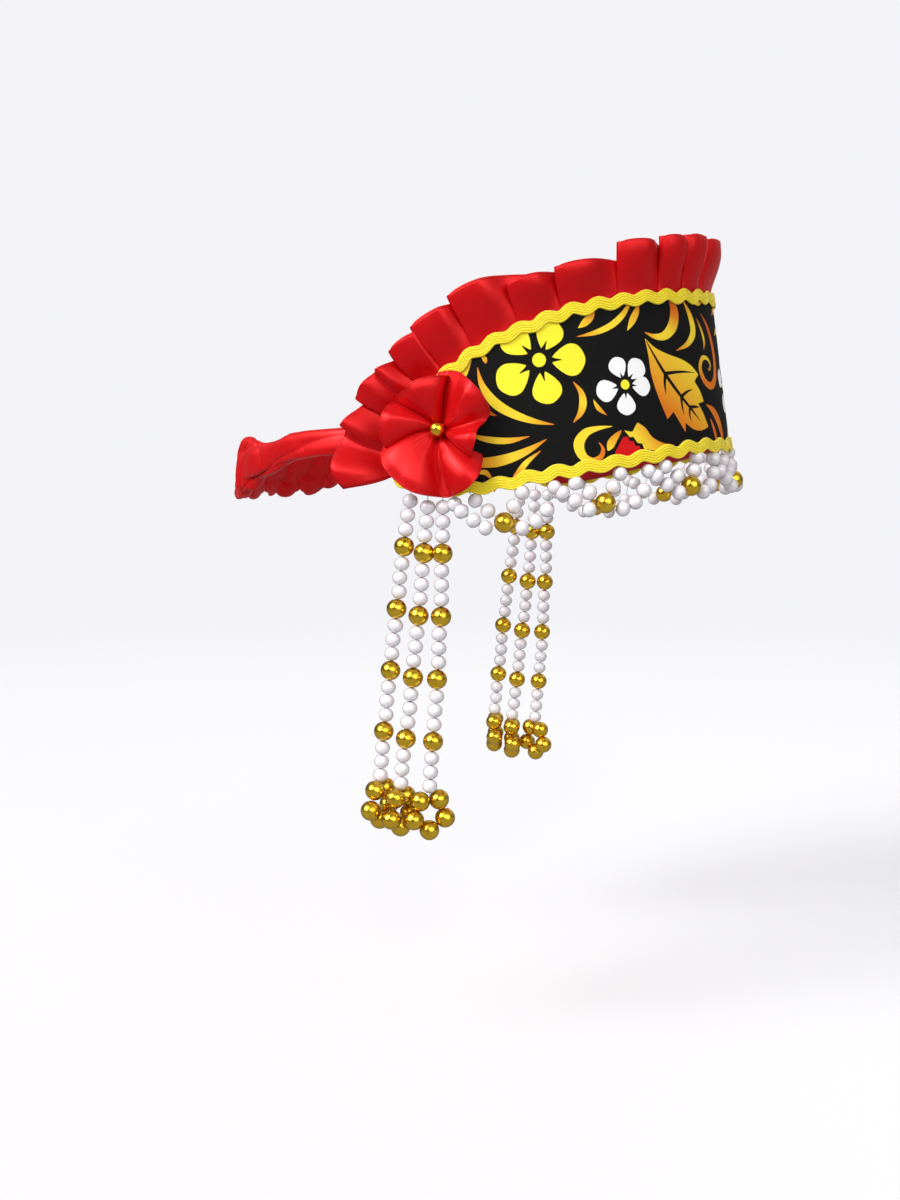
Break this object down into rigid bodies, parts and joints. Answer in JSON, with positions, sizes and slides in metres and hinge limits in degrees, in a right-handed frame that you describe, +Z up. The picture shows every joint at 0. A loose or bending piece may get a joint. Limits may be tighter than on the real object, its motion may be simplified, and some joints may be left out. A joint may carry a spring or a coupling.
{
  "type": "kokoshnik headdress",
  "caption": "Folk headdress: a bent printed band with a pleated ruffle, rosettes at the temples, a soft strap round the back, and strings of beads hanging from its lower edge.",
  "frame": {"origin": "middle of the head opening at the height of the strap, where the head carries the band", "axes": "+Z up, the front of the headdress looks along -Y, +X is the wearer's left"},
  "size_m": [0.1836, 0.2235, 0.2377],
  "materials": {
    "print": "black twill over a stiff band, printed with yellow, orange and white flowers and leaves",
    "braid": "yellow rickrack braid of fine parallel cords",
    "satin": "red polyester satin with a soft sheen",
    "pearl": "white imitation pearl, glossy",
    "gilt": "gold metallised plastic, mirror bright"
  },
  "bodies": {
    "root": {"band": "print", "braid": "braid", "ruffle": "satin", "strap": "satin", "bead_net": "pearl", "rosette_right": "satin", "rosette_bead_right": "gilt", "strand_right_1": "pearl", "strand_right_2": "pearl", "strand_right_3": "pearl", "rosette_left": "satin", "rosette_bead_left": "gilt", "strand_left_1": "pearl", "strand_left_2": "pearl", "strand_left_3": "pearl"}
  },
  "joints": []
}
